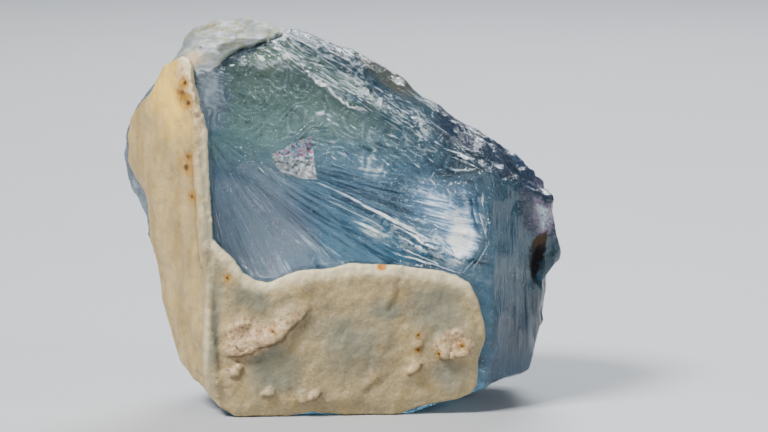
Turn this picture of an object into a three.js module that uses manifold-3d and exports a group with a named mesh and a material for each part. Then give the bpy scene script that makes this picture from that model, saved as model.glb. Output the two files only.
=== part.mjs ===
// A rough blue topaz crystal, broken open at the front, with the cream crust that still covers
// two of its prism faces. Millimetres, +Z up. It stands on its flat cleaved base.
import * as THREE from "three";
import { ConvexGeometry } from "three/addons/geometries/ConvexGeometry.js";
import { ImprovedNoise } from "three/addons/math/ImprovedNoise.js";
import { mergeVertices } from "three/addons/utils/BufferGeometryUtils.js";
import Module from "manifold-3d";

// ---- Driving dimensions, in mm -----------------------------------------------------------
const CRUST = 1.3; // thickness of the cream crust
const GAP = 0.3; // clearance between the crust and the crystal
const FOOT_X = -15; // where the front face's lower left corner stands
const FRONT_TURN = 0.08; // how fast the front prism face runs back, per mm to the right
const FRONT_LEAN = 0.03; // how far it leans back, per mm of height
const EDGE_X = -17.5; // the upright edge between the left and the front face, at the foot
const EDGE_LEAN = -0.072; // its lean to the left, per mm of height
const LEFT_TURN = -1.7; // how fast the left prism face runs back, per mm to the right
const RIGHT_X = 20.4; // the upright edge between the front and the right face
const RIGHT_TURN = 1.66; // how fast the right prism face runs back, per mm to the right
const FRONT_EDGE = 3.2; // longest triangle edge on the broken front of the crystal
const BACK_EDGE = 5.6; // longest triangle edge on its back
const CRUST_EDGE = 2; // longest triangle edge on the crust's outer side
const FLAT_FOOT = 3; // height over which the surface roughness fades out above the base
const RIM_ROUND = 0.6; // how far the crust's rim falls away
const RIM_WIDTH = 2; // and over what width

// ---- The three prism faces: each gives the point of the face at a given x and height ------
const frontDepth = (x, z) => FRONT_TURN * (x - FOOT_X) + FRONT_LEAN * z;
const edgeX = (z) => EDGE_X + EDGE_LEAN * z;
const onFront = (x, z) => [x, frontDepth(x, z), z];
const onLeft = (x, z) => [x, frontDepth(edgeX(z), z) + LEFT_TURN * (x - edgeX(z)), z];
const onRight = (x, z) => [x, frontDepth(RIGHT_X, z) + RIGHT_TURN * (x - RIGHT_X), z];
const FRONT_NORMAL = [FRONT_TURN, -1, FRONT_LEAN];
const LEFT_NORMAL = [LEFT_TURN, -1, FRONT_LEAN + EDGE_LEAN * (FRONT_TURN - LEFT_TURN)];
const SHOULDER_NORMAL = [0.4, -0.6, 0.75];

// ---- Corners of the whole stone, as it would be with nothing broken out of it --------------
const FRONT_CORNERS = [
  [-15, 0], [9, 0], [14, 1.7], [19, 3.3], [20.3, 10], [20.4, 25], [19.6, 35],
  [14, 39], [4, 44.2], [-7, 50], [-18.5, 50.8], [-20.7, 47],
].map(([x, z]) => onFront(x, z));
const LEFT_CORNERS = [
  [-17, 2.3], [-18.8, 4], [-22.4, 6.2], [-24.8, 13], [-27, 24], [-28, 28.5],
  [-30.8, 39.5], [-28.4, 42.4], [-25.4, 47.6], [-23.6, 49.4],
].map(([x, z]) => onLeft(x, z));
const LEFT_BACK_CORNERS = [[-31.9, 24.6, 38.2], [-32, 25, 34.4], [-30.8, 24, 31.2], [-28.6, 21.5, 28.6]];
const RIGHT_CORNERS = [
  [26.9, 4.6], [27.7, 7.5], [28.5, 13.4], [31.5, 19.4], [31.4, 26], [30.4, 28.6],
].map(([x, z]) => onRight(x, z));
const TOP_CORNERS = [
  [-22, 9, 52.3], [-21.2, 12, 54], [-17.5, 13, 55.1], [-13.8, 14, 55.5], [-11, 14.5, 55.1],
  [-7.4, 15.5, 53.8], [-2.8, 17, 52.2], [1.2, 19, 50.4], [8.2, 22, 45.8], [14, 24, 40.5],
  [21.6, 26, 37], [26.9, 28, 32.2],
];
const BACK_CORNERS = [
  [-21, 25, 50], [-8, 30, 47], [9, 34, 40], [23, 35, 29.5], [28.2, 34.5, 20], [26.2, 30, 6],
  [-29, 30, 38], [-24.6, 30, 22], [-19.5, 26, 5],
  [-20, 38, 36], [-15, 38.5, 15], [2, 40, 31], [5, 39.5, 12], [19, 38.5, 22],
];
const BASE_CORNERS = [
  [-15, 0, 0], [8.6, 1.9, 0], [13.4, 13, 0], [16, 25, 0], [9, 32, 0], [-8, 32, 0], [-17, 24, 0], [-17, 9, 0],
];

// ---- Outlines, each point as x and height ---------------------------------------------------
// The crust, from the foot of the upright edge round by the right.
const CRUST_OUTLINE = [
  [-14.9, 0.1], [-8, 0.1], [-5.8, 0.3], [-4, 0.6], [-1.6, 0.3], [0.5, 0.1], [8.3, 0.1], [10.4, 1],
  [16.1, 2.1], [18.2, 2.8], [19.2, 4.1], [19.4, 7.8], [20.4, 10.6], [20.1, 13.4], [19.3, 16.4],
  [18.2, 18.5], [16.2, 19.7], [13.9, 20.4], [9.7, 21], [5.5, 21.4], [1.2, 21.6], [-1.6, 20.9],
  [-5.8, 20.7], [-7.8, 20], [-10, 19], [-12, 19.3], [-13.8, 20.5], [-14.9, 22.2], [-16.7, 23.9],
  [-18, 25.3], [-18.2, 28], [-18.5, 33.8], [-18.7, 40.6], [-19.3, 42.9], [-20.2, 45], [-20.8, 47.1],
  [-21, 49.2], [-21.6, 50.3], [-22.6, 50.7], [-24.1, 49.8], [-25.7, 48.7], [-26.9, 46.4],
  [-27.6, 44.9], [-30.3, 41.3], [-31, 40.1], [-31.1, 38.2], [-31.4, 36.4], [-31.6, 33.8],
  [-30.4, 31.6], [-29, 29.8], [-28.3, 28], [-28.1, 23.2], [-27, 19.9], [-26.3, 14.8],
  [-24.9, 10], [-23.7, 6.2], [-22.4, 5.2], [-19.9, 3.4], [-18, 1.9], [-16.6, 1.1],
];
// The opening broken into the front face, from its lowest corner at the left round by the right.
const BREAK_OUTLINE = [
  [-12, 19.2], [-10, 18.9], [-7.8, 19.8], [-5.8, 20.5], [-1.6, 20.7], [1.2, 21.3], [5.5, 21.1],
  [9.7, 20.7], [13.9, 20.1], [16.2, 19.5], [18.6, 20.4], [20.4, 23.5], [21, 28], [20.4, 33],
  [18.4, 37], [14, 40.5], [6.5, 44], [1.4, 44.6], [-2, 47.6], [-5, 51], [-7.5, 54], [-12, 53.2],
  [-14.5, 52], [-17.3, 49.8], [-19.8, 46.8], [-19, 43], [-18.4, 40.6], [-18.2, 33.8], [-17.9, 28],
  [-17.7, 25.3], [-16.5, 23.7], [-14.7, 22], [-13.6, 20.3],
];

const wasm = await Module();
wasm.setup();

// ---- Between three.js and the solid kernel -------------------------------------------------
function toSolid(geometry) {
  const bare = geometry.clone();
  for (const name of Object.keys(bare.attributes)) {
    if (name !== "position") bare.deleteAttribute(name);
  }
  const merged = mergeVertices(bare, 1e-4);
  const vertProperties = new Float32Array(merged.attributes.position.array);
  const triVerts = new Uint32Array(merged.index.array);
  return new wasm.Manifold(new wasm.Mesh({ numProp: 3, vertProperties, triVerts }));
}

function toGeometry(solid) {
  const mesh = solid.getMesh();
  return new THREE.BufferGeometry()
    .setAttribute("position", new THREE.BufferAttribute(mesh.vertProperties, 3))
    .setIndex(new THREE.BufferAttribute(mesh.triVerts, 1));
}

// ---- Finer triangles and a rough surface ---------------------------------------------------
// Splits every edge longer than `limit(midpoint)` at its middle, so neighbours stay joined.
function refined(geometry, limit) {
  const source = (geometry.index ? geometry.toNonIndexed() : geometry).attributes.position;
  const corner = (i) => new THREE.Vector3().fromBufferAttribute(source, i);
  const waiting = [];
  for (let i = 0; i < source.count; i += 3) waiting.push([corner(i), corner(i + 1), corner(i + 2)]);
  const done = [];
  while (waiting.length) {
    const triangle = waiting.pop();
    let longest = 0;
    let excess = 1;
    for (let i = 0; i < 3; i++) {
      const [a, b] = [triangle[i], triangle[(i + 1) % 3]];
      const middle = a.clone().add(b).multiplyScalar(0.5);
      const ratio = a.distanceTo(b) / limit(middle);
      if (ratio > excess) [longest, excess] = [i, ratio];
    }
    if (excess <= 1) {
      done.push(...triangle);
      continue;
    }
    const [a, b, c] = [0, 1, 2].map((k) => triangle[(longest + k) % 3]);
    const middle = a.clone().add(b).multiplyScalar(0.5);
    waiting.push([a, middle, c], [middle, b, c]);
  }
  return mergeVertices(new THREE.BufferGeometry().setFromPoints(done), 1e-4);
}

function displaced(geometry, shift) {
  const places = geometry.attributes.position;
  for (let i = 0; i < places.count; i++) {
    const p = new THREE.Vector3().fromBufferAttribute(places, i);
    places.setXYZ(i, ...p.add(shift(p)));
  }
  return geometry;
}

const perlin = new ImprovedNoise();
const noise = (p, wavelength, layer = 0) =>
  perlin.noise(p.x / wavelength + 7.3, p.y / wavelength + 3.1, p.z / wavelength + 11.7 * layer);
const fade = (from, to, value) => THREE.MathUtils.smoothstep(value, from, to);

// The unevenness of broken topaz: gentle everywhere, rougher on the stone's right-hand end.
function unevenness(p) {
  const rough = 1 + 1.6 * fade(19, 26, p.x) * fade(14, 24, p.z);
  const wave = (layer) => 0.6 * noise(p, 8, layer) + 0.24 * rough * noise(p, 3.1, layer + 4);
  return new THREE.Vector3(wave(0), wave(1), wave(2)).multiplyScalar(fade(0, FLAT_FOOT, p.z));
}

// ---- Cutting tools --------------------------------------------------------------------------
// Everything beyond the plane that faces `normal` and lies `depth` under `point`.
function beyond(point, normal, depth = 0) {
  const size = 200;
  const out = new THREE.Vector3(...normal).normalize();
  const block = new THREE.BoxGeometry(size, size, size).translate(0, 0, size / 2 - depth);
  const turn = new THREE.Quaternion().setFromUnitVectors(new THREE.Vector3(0, 0, 1), out);
  return toSolid(block.applyQuaternion(turn).translate(...point));
}

// A shallow dish, as a shell-shaped flake leaves it: an ellipsoid that stands out of the face.
// `at` is the dish's middle on the face, `half` its half sizes along and across, `roll` how far
// its long side is turned from level, in degrees, and `facing` the face's outward normal.
function dish({ at, half, depth, roll = 0, facing, lift = 2 }) {
  const out = new THREE.Vector3(...facing).normalize();
  const along = new THREE.Vector3(0, 0, 1).cross(out).normalize();
  along.applyAxisAngle(out, THREE.MathUtils.degToRad(roll));
  const across = new THREE.Vector3().crossVectors(out, along);
  const spread = 1 / Math.sqrt(1 - (lift / (lift + 1)) ** 2);
  const frame = new THREE.Matrix4().makeBasis(along, across, out);
  frame.setPosition(new THREE.Vector3(...at).addScaledVector(out, lift * depth));
  const fineness = Math.round((1.1 * spread * Math.max(...half)) / FRONT_EDGE);
  const ball = new THREE.IcosahedronGeometry(1, fineness);
  ball.scale(half[0] * spread, half[1] * spread, (lift + 1) * depth);
  return toSolid(displaced(ball.applyMatrix4(frame), unevenness));
}

// A straight bar along Y with the outline as its cross-section.
function bar(outline) {
  const shape = new THREE.Shape(outline.map(([x, z]) => new THREE.Vector2(x, z)));
  const length = 120;
  const solid = new THREE.ExtrudeGeometry(shape, { depth: length, bevelEnabled: false });
  return toSolid(solid.rotateX(Math.PI / 2).translate(0, length / 2, 0));
}

// ---- The crystal ----------------------------------------------------------------------------
// The overlapping shell-shaped scars that make up the break in the front face.
const BREAK_SCARS = [
  { at: onFront(-1, 36), half: [26, 18], depth: 8.2, roll: -32 },
  { at: onFront(-10, 28), half: [16, 10], depth: 7.2, roll: -38 },
  { at: onFront(1.5, 25.3), half: [21, 6], depth: 6.6, roll: -25 },
  { at: onFront(15.5, 27.5), half: [9.5, 10], depth: 4.6 },
  { at: onFront(9, 38), half: [12, 7], depth: 5.4, roll: -38 },
].map((scar) => ({ ...scar, facing: FRONT_NORMAL }));
// Scars on the shoulder, under the cap, at both ends, under the crust's arch and on the back.
const OTHER_SCARS = [
  { at: [2, 10.5, 47.3], half: [13, 4.6], depth: 1.3, roll: -34, facing: SHOULDER_NORMAL },
  { at: [14, 16, 41.4], half: [10, 5.4], depth: 1.5, roll: -32, facing: SHOULDER_NORMAL },
  { at: [-9, 7.6, 51.9], half: [6.6, 3], depth: 1.5, roll: 18, facing: [0, -0.8, 0.6] },
  { at: [-23.2, 13, 50.9], half: [6, 2.8], depth: 1.4, facing: [-0.75, -0.1, 0.65] },
  { at: [-29.8, 21.2, 26.6], half: [6, 4.4], depth: 1.3, facing: [-1, -0.1, -0.3] },
  { at: [28.5, 17.8, 19.2], half: [2.3, 3.2], depth: 2.8, facing: [0.8, -0.7, 0] },
  { at: [30.6, 21, 14.2], half: [8, 5], depth: 1.8, facing: [1, -0.1, -0.3] },
  { at: [30.3, 21.4, 16.6], half: [7, 2.6], depth: 1.3, facing: [1, -0.1, -0.2] },
  { at: [-3, 2, 0], half: [4, 3.4], depth: 0.7, facing: [0, -0.5, -1] },
  { at: [-9, 39, 30], half: [13, 9], depth: 2.2, roll: 20, facing: [-0.2, 1, 0.15] },
  { at: [14, 39, 26], half: [11, 12], depth: 2.4, roll: 60, facing: [0.25, 1, 0.2] },
  { at: [-4, 39.5, 12], half: [14, 7], depth: 1.8, roll: -10, facing: [0, 1, -0.15] },
  { at: [-25, 33, 30], half: [8, 12], depth: 1.8, facing: [-1, 0.6, 0] },
  { at: [0, 27, 49.5], half: [15, 7], depth: 1.8, roll: 30, facing: [0.15, 0.45, 0.85] },
  { at: [23, 35, 12], half: [7, 7], depth: 1.8, facing: [0.6, 0.8, -0.2] },
];

// A three-cornered flake broken out of the bottom of the break, flat-floored and deeper to the right.
const CHIP_CORNERS = [[-9.7, 8.8, 37.2], [-4.4, 11.3, 39.2], [-3.8, 11.2, 33.4], [-7.3, 10, 34.5]];

function makeCrystal() {
  const corners = [
    FRONT_CORNERS, LEFT_CORNERS, LEFT_BACK_CORNERS, RIGHT_CORNERS, TOP_CORNERS, BACK_CORNERS, BASE_CORNERS,
  ].flat();
  const whole = new ConvexGeometry(corners.map((corner) => new THREE.Vector3(...corner)));
  const edge = (p) => THREE.MathUtils.lerp(FRONT_EDGE, BACK_EDGE, fade(12, 28, p.y));
  let solid = toSolid(displaced(refined(whole, edge), unevenness))
    .subtract(beyond(onFront(0, 0), FRONT_NORMAL, CRUST + GAP))
    .subtract(beyond(onLeft(edgeX(0), 0), LEFT_NORMAL, CRUST + GAP));
  const opening = bar(BREAK_OUTLINE);
  for (const scar of BREAK_SCARS) solid = solid.subtract(dish(scar).intersect(opening));
  for (const scar of OTHER_SCARS) solid = solid.subtract(dish(scar));
  const chip = CHIP_CORNERS.flatMap(([x, y, z]) => [new THREE.Vector3(x, y, z), new THREE.Vector3(x, 0, z)]);
  return toGeometry(solid.subtract(toSolid(new ConvexGeometry(chip))));
}

const topaz = new THREE.MeshStandardMaterial({ color: "#6f9fb4", roughness: 0.15, metalness: 0 });
topaz.transparent = true;
topaz.opacity = 0.6;
const crystal = new THREE.Mesh(makeCrystal(), topaz);
crystal.name = "topaz_crystal";

// ---- The crust ------------------------------------------------------------------------------
// Rough patches raised on the front face: middle x and height, half sizes, and rise.
const PATCHES = [
  { at: [-11.2, 12.6], half: [5.6, 3.2], rise: 0.35 },
  { at: [16, 10.4], half: [2.9, 2.8], rise: 0.35 },
  { at: [10, 6.8], half: [1.3, 2], rise: 0.25 },
  { at: [-10.3, 3.4], half: [1.2, 0.9], rise: 0.25 },
  { at: [-4.3, 3], half: [1.6, 1.2], rise: 0.25 },
];

// Distance from a point of the crust to the nearest stretch of its outline, seen from the front.
function rimDistance(p) {
  const here = new THREE.Vector3(p.x, 0, p.z);
  const nearest = new THREE.Vector3();
  const corners = CRUST_OUTLINE.map(([x, z]) => new THREE.Vector3(x, 0, z));
  return Math.min(...corners.map((corner, i) => {
    const side = new THREE.Line3(corner, corners[(i + 1) % corners.length]);
    return side.closestPointToPoint(here, true, nearest).distanceTo(here);
  }));
}

// How far the crust's outer side stands above its mean level at a point, in mm.
function relief(p) {
  const fromEdge = p.x - edgeX(p.z);
  const channel = -0.4 * Math.exp(-(((fromEdge - 1.1) / 0.7) ** 2)) * (1 - fade(29, 34, p.z));
  const corner = -0.35 * Math.exp(-((fromEdge / 0.8) ** 2));
  const patches = PATCHES.map(({ at, half, rise }) => {
    const reach = Math.hypot((p.x - at[0]) / half[0], (p.z - at[1]) / half[1]);
    return (rise + 0.35 * noise(p, 2.1, 9)) * (1 - fade(0.75, 1.1, reach));
  });
  const swell = 0.35 * noise(p, 7, 2) + 0.16 * noise(p, 2.6, 6);
  return channel + corner + swell + Math.max(0, ...patches);
}

// The wedge between the front and the left face, its two outer sides in relief, is hollowed
// out under the crust and cut to the crust's outline. Last, the rim is rounded.
function makeCrust() {
  const [front, left] = [FRONT_NORMAL, LEFT_NORMAL].map((normal) => new THREE.Vector3(...normal).normalize());
  const facing = (p) => (p.x > edgeX(p.z) ? front : left);
  const wedge = [-3, 54].flatMap((z) => [onFront(edgeX(z), z), onFront(24, z), onLeft(-36, z), [24, 36, z]]);
  const block = new ConvexGeometry(wedge.map((corner) => new THREE.Vector3(...corner)));
  const depthOf = (p) => Math.min(p.y - onFront(p.x, p.z)[1], p.y - onLeft(p.x, p.z)[1]);
  const skin = refined(block, (p) => (depthOf(p) < 0.1 ? CRUST_EDGE : 12));
  const raised = displaced(skin, (p) => facing(p).clone().multiplyScalar(depthOf(p) < 0.1 ? relief(p) : 0));
  const hollow = bar([[-90, -90], [90, -90], [90, 90], [-90, 90]])
    .subtract(beyond(onFront(0, 0), FRONT_NORMAL, CRUST))
    .subtract(beyond(onLeft(edgeX(0), 0), LEFT_NORMAL, CRUST));
  const shell = toSolid(raised).subtract(hollow).intersect(bar(CRUST_OUTLINE));
  return displaced(toGeometry(shell), (p) => {
    const rim = 1 - fade(0, RIM_WIDTH, rimDistance(p));
    return facing(p).clone().multiplyScalar(-RIM_ROUND * rim * (1 - fade(0, CRUST, depthOf(p) + 0.3)));
  });
}

const rind = new THREE.MeshStandardMaterial({ color: "#cfc09c", roughness: 0.85, metalness: 0 });
const crust = new THREE.Mesh(makeCrust(), rind);
crust.name = "crust";

// The origin is the middle of the base, under the middle of the stone.
const stone = new THREE.Group();
stone.add(crystal, crust);
const extent = new THREE.Box3().setFromObject(stone);
const middle = extent.getCenter(new THREE.Vector3());
stone.position.set(-middle.x, -middle.y, -extent.min.z);
export default stone;
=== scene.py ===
"""The looks of a rough blue topaz crystal and of the cream crust on two of its prism faces.

Sizes are in mm in the stone's own drawing, whose zero is the foot of the front face. at() makes
them metres in the frame. A place seen from the front is its x and its height.
"""
import math
from functools import cache

import bpy
import numpy as np
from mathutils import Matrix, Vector
from mathutils.kdtree import KDTree


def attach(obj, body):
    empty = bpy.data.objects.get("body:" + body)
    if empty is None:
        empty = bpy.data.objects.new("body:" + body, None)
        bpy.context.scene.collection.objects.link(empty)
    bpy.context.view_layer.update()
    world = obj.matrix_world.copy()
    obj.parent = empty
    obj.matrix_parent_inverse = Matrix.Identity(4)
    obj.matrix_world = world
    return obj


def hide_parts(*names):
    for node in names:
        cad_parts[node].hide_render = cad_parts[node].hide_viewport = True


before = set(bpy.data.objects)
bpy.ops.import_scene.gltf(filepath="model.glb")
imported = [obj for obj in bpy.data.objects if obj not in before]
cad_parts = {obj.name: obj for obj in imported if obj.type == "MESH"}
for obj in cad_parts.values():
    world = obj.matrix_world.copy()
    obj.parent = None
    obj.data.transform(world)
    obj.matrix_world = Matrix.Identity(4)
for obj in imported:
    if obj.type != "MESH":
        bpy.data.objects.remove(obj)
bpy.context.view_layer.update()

# ---- Driving dimensions, in mm ----
MM = 0.001
DRAWING_ZERO = Vector((0.21, -19.933, 0))  # the drawing's zero in the frame
CRUST_THICKNESS = 1.3
BOND = 0.5  # how deep the crust is let into the crystal
FRONT_TURN = 0.08  # how far the front face falls back for each mm to the right
FRONT_LEAN = 0.03  # and for each mm up
LEFT_TURN = -1.7  # the left face's own FRONT_TURN
FOOT_X = -15  # where the foot of the front face has no depth
EDGE_X = -17.5  # the foot of the upright edge between the two faces
EDGE_LEAN = -0.072  # how far it leans over for each mm up
CRYSTAL_VOXEL = 0.5
CRUST_VOXEL = 0.27
BASE_FADE = (0.3, 2.5)  # heights over which the relief sets in


def at(x, y, z):
    """A point of the drawing as a point of the frame, in metres."""
    return (Vector((x, y, z)) + DRAWING_ZERO) * MM


def edge_x(z):
    """Where the upright edge between the two faces stands at a height."""
    return EDGE_X + EDGE_LEAN * z


def front_depth(x, z):
    """Depth of the crust's outer side on the front face."""
    return FRONT_TURN * (x - FOOT_X) + FRONT_LEAN * z


def behind_front(points):
    """How far back each point is from the crust's outer side on the front face."""
    x, y, z = points.T
    return y - front_depth(x, z)


def behind_left(points):
    """How far back each point is from the crust's outer side on the left face."""
    x, y, z = points.T
    return y - (front_depth(edge_x(z), z) + LEFT_TURN * (x - edge_x(z)))


FRONT_OUT = Vector((FRONT_TURN, -1, FRONT_LEAN)).normalized()
LEFT_OUT = Vector((LEFT_TURN, -1, FRONT_LEAN + EDGE_LEAN * (FRONT_TURN - LEFT_TURN))).normalized()


# ---- Modelling tools ----
def set_up(thing, settings):
    """Gives a thing its settings, and hands it back."""
    for key, value in settings.items():
        setattr(thing, key, value)
    return thing


def new_object(name, data=None):
    made = bpy.data.objects.new(name, data)
    bpy.context.scene.collection.objects.link(made)
    return made


def select_only(piece):
    bpy.ops.object.select_all(action="DESELECT")
    piece.select_set(True)
    bpy.context.view_layer.objects.active = piece


def change(piece, chosen, operator, kind="polygons", **settings):
    """Runs a mesh operator on only the chosen faces, or vertices, of the piece."""
    select_only(piece)
    faces = kind == "polygons"
    bpy.context.tool_settings.mesh_select_mode = (not faces, False, faces)
    for element in ("vertices", "edges", "polygons"):
        flags = chosen if element == kind else np.zeros(len(getattr(piece.data, element)), bool)
        getattr(piece.data, element).foreach_set("select", flags)
    bpy.ops.object.mode_set(mode="EDIT")
    operator(**settings)
    bpy.ops.object.mode_set(mode="OBJECT")


def copy_of(node, name):
    """A new piece with the CAD node's shape, its loose triangles merged."""
    piece = new_object(name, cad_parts[node].data.copy())
    piece.data.materials.clear()
    everything = np.ones(len(piece.data.polygons), bool)
    change(piece, everything, bpy.ops.mesh.remove_doubles, threshold=0.002 * MM)
    return piece


def read(items, name, width=3):
    """One vector for each of a mesh's items, as an array."""
    values = np.empty(len(items) * width)
    items.foreach_get(name, values)
    return values.reshape(-1, width)


def surface(piece, kind="vertices"):
    """Where the piece's vertices, or faces, are in the drawing, and their normals."""
    items = getattr(piece.data, kind)
    places = read(items, "co" if kind == "vertices" else "center")
    return places / MM - np.array(DRAWING_ZERO), read(items, "normal")


def apply_modifier(piece, kind, **settings):
    select_only(piece)
    modifier = set_up(piece.modifiers.new("shaping", kind), settings)
    bpy.ops.object.modifier_apply(modifier=modifier.name)


def remesh(piece, voxel):
    apply_modifier(piece, "REMESH", mode="VOXEL", voxel_size=voxel * MM)


def thin_out(piece, chosen, share):
    """Leaves about that share of the chosen triangles."""
    change(piece, chosen, bpy.ops.mesh.decimate, ratio=share)


def split_finer(piece, chosen):
    change(piece, chosen, bpy.ops.mesh.subdivide, number_cuts=1)


def ramp(value, start, end):
    """0 up to start, 1 from end on, smooth between."""
    t = np.clip((value - start) / (end - start), 0, 1)
    return t * t * (3 - 2 * t)


WEIGHT_STEPS = 1000  # the levels of a vertex weight


def mark(piece, weights):
    """A vertex group that holds one weight for each vertex."""
    group = piece.vertex_groups.new(name="where")
    steps = np.round(np.clip(weights, 0, 1) * WEIGHT_STEPS).astype(int)
    order = np.argsort(steps, kind="stable")
    levels, starts = np.unique(steps[order], return_index=True)
    for level, chosen in zip(levels, np.split(order, starts[1:])):
        if level:
            group.add(chosen.tolist(), level / WEIGHT_STEPS, "REPLACE")
    return group.name


def clouds(name, depth):
    """A pattern of soft lumps one unit across, with finer ones in it."""
    return set_up(bpy.data.textures.new(name, "CLOUDS"), {"noise_scale": 1, "noise_depth": depth})


CLOUDS = clouds("clouds", 2)
FINE_CLOUDS = clouds("fine clouds", 4)


def raise_by(piece, height, where, texture=None, place=(0, 0, 0), size=(1, 1, 1), middle=0.5):
    """Moves the marked vertices along their normals: by height mm, or by a pattern of that height.

    The pattern's zero stands at place, its unit is size mm, and its middle value moves nothing.
    """
    settings = {"strength": height * MM, "mid_level": middle, "vertex_group": mark(piece, where)}
    if texture:
        holder = new_object("pattern place")
        holder.location = at(*place)
        holder.scale = Vector(size) * MM
        bpy.context.view_layer.update()
        settings |= {"texture": texture, "texture_coords": "OBJECT", "texture_coords_object": holder}
    apply_modifier(piece, "DISPLACE", **settings)
    piece.vertex_groups.clear()
    if texture:
        bpy.data.objects.remove(holder)


def sculpt(piece, heights):
    """Moves each vertex along its normal by a height of its own, in mm."""
    for way in (1, -1):
        part = np.clip(heights * way, 0, None)
        if part.max() > 0:
            raise_by(piece, way * part.max(), part / part.max(), middle=0)


def paint(piece, **layers):
    """Keeps numbers for each vertex, which the finish reads by name."""
    for name, values in layers.items():
        layer = piece.data.attributes.new(name, "FLOAT", "POINT")
        layer.data.foreach_set("value", np.clip(values, 0, 1))


def shade_smooth(piece):
    piece.data.polygons.foreach_set("use_smooth", np.ones(len(piece.data.polygons), bool))


# ---- Fields over the drawing, as it is seen from the front ----
NOISE_CELLS = 128
SCALLOP_MEAN = 0.4


def ripple(across, along, seed):
    """A seeded unevenness from -0.5 to 0.5, its bumps one unit apart each way."""
    grid = np.random.default_rng(seed).random((NOISE_CELLS, NOISE_CELLS))
    column, row = np.floor(across).astype(int), np.floor(along).astype(int)
    right, up = ramp(across - column, 0, 1), ramp(along - row, 0, 1)

    def corner(i, j):
        return grid[(column + i) % NOISE_CELLS, (row + j) % NOISE_CELLS]

    lower = corner(0, 0) * (1 - right) + corner(1, 0) * right
    upper = corner(0, 1) * (1 - right) + corner(1, 1) * right
    return lower * (1 - up) + upper * up - 0.5


def turned(points, turn):
    """Where each point is along axes that are turned down to the right."""
    angle = math.radians(turn)
    x, _, z = points.T
    return x * math.cos(angle) - z * math.sin(angle), x * math.sin(angle) + z * math.cos(angle)


def spot(points, centre, half, turn=0, inner=0.7, outer=1.1):
    """1 inside an ellipse that is turned down to the right, 0 outside."""
    along, over = turned(points - (centre[0], 0, centre[1]), turn)
    return 1 - ramp(np.hypot(along / half[0], over / half[1]), inner, outer)


def glow(points, centre, half, turn=0):
    """1 at the middle of an ellipse, fading softly to 0 at its edge."""
    return spot(points, centre, half, turn, 0, 1.5)


def inside(points, corners, soft):
    """1 inside a shape with straight sides and no inward corner."""
    least = np.full(len(points), np.inf)
    for (x0, z0), (x1, z1) in zip(corners, corners[1:] + corners[:1]):
        length = math.hypot(x1 - x0, z1 - z0)
        within = (points[:, 2] - z0) * (x1 - x0) - (points[:, 0] - x0) * (z1 - z0)
        least = np.minimum(least, -within / length)
    return ramp(least, 0, soft)


def beside(points, corners):
    """How far each point is above a line, and its share of the way along that line."""
    lengths = [math.dist(*ends) for ends in zip(corners, corners[1:])]
    nearest = np.full(len(points), np.inf)
    above, share = np.zeros(len(points)), np.zeros(len(points))
    travelled = 0
    for (start, end), length in zip(zip(corners, corners[1:]), lengths):
        run = (np.array(end, float) - start) / length
        off = points[:, [0, 2]] - start
        along = np.clip(off @ run, 0, length)
        gap = off - along[:, None] * run
        distance = np.hypot(*gap.T)
        closer = distance < nearest
        side = np.sign(gap[:, 1] * run[0] - gap[:, 0] * run[1])
        nearest[closer] = distance[closer]
        above[closer] = (distance * side)[closer]
        share[closer] = ((travelled + along) / sum(lengths))[closer]
        travelled += length
    return above, share


def band(points, line, half, soft):
    """1 in a band along a line, less over the soft mm beside it."""
    return 1 - ramp(np.abs(beside(points, line)[0]), half, half + soft)


def scallops(points, size, seed, turn=0):
    """A surface flaked into bowls of that size, high on the edges between them."""
    along, over = turned(points, turn)
    own = np.column_stack([along, points[:, 1], over]) / size
    lowest, highest = np.floor(own.min(0)) - 1, np.ceil(own.max(0)) + 1
    cells = np.stack(np.meshgrid(*map(np.arange, lowest, highest), indexing="ij"), -1).reshape(-1, 3)
    bowls = cells + np.random.default_rng(seed).random(cells.shape)
    tree = KDTree(len(bowls))
    for number, middle in enumerate(bowls):
        tree.insert(middle, number)
    tree.balance()
    away = np.array([tree.find(point)[2] for point in own])
    return np.clip(1.5 * away ** 2, 0, 1) - SCALLOP_MEAN


def tapered(share, ends=0.12):
    """1 along a line, and less towards its two ends."""
    return ramp(share, 0, ends) * (1 - ramp(share, 1 - ends, 1))


def swell(distance, half):
    """1 on a line, and less on either side of it."""
    return np.exp(-(distance / half) ** 2)


def shaken(points, wander, grain, seed=3):
    """The points moved unevenly up and down, which makes straight lines ragged."""
    jog = wander * ripple(points[:, 0] / grain, points[:, 2] / grain, seed)
    return points + np.outer(jog, (0, 0, 1))


# ---- The crystal's shape ----
FLOW_SOURCE = (-19.7, 41)  # the corner that the break's flow lines spread from
FLOW_BEND = 0.005  # how they turn to the right, in radians per mm
FLOW_SPAN = 30  # mm from the source at which the streaks have their own width

LONG_STEP = [
    (-4.2, 32.5), (-1.7, 31.3), (0.5, 30.4), (3.3, 28.9), (6.2, 27.3), (8.3, 26.4), (11.1, 24.9),
    (14, 23.5), (16.5, 22), (18.2, 20.6)]
LEDGE = [
    (-7.5, 50.3), (-6.4, 49.4), (-5, 48.3), (-3.7, 47.2), (-2, 46.3), (-1.5, 45.6), (-0.5, 44.6),
    (1.3, 43.2), (4, 42.4)]
LOBE_RIM = [
    (15.4, 22.9), (16.5, 21.7), (17.6, 21.3), (18.8, 22.1), (20.2, 24), (20.9, 26.6), (20.4, 29.4),
    (19.3, 32), (18.2, 33.5)]
CREASE = [
    (-17.4, 49.3), (-15.4, 50.9), (-13.9, 51.6), (-12.4, 51.8), (-11.5, 52.2), (-10.1, 52.8), (-8.1, 53.4)]
CREASE_FOOT = [(-17.4, 49.3), (-14.8, 50.1), (-13.2, 50.8), (-11.8, 51.5), (-10.1, 52.4), (-8.1, 53.2)]
OUTER_RIM = [(-3, 51.4), (-0.1, 49.8), (1.2, 48.6), (2.9, 46.5), (4.7, 44.6), (7.5, 43), (11, 41.5)]
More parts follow.
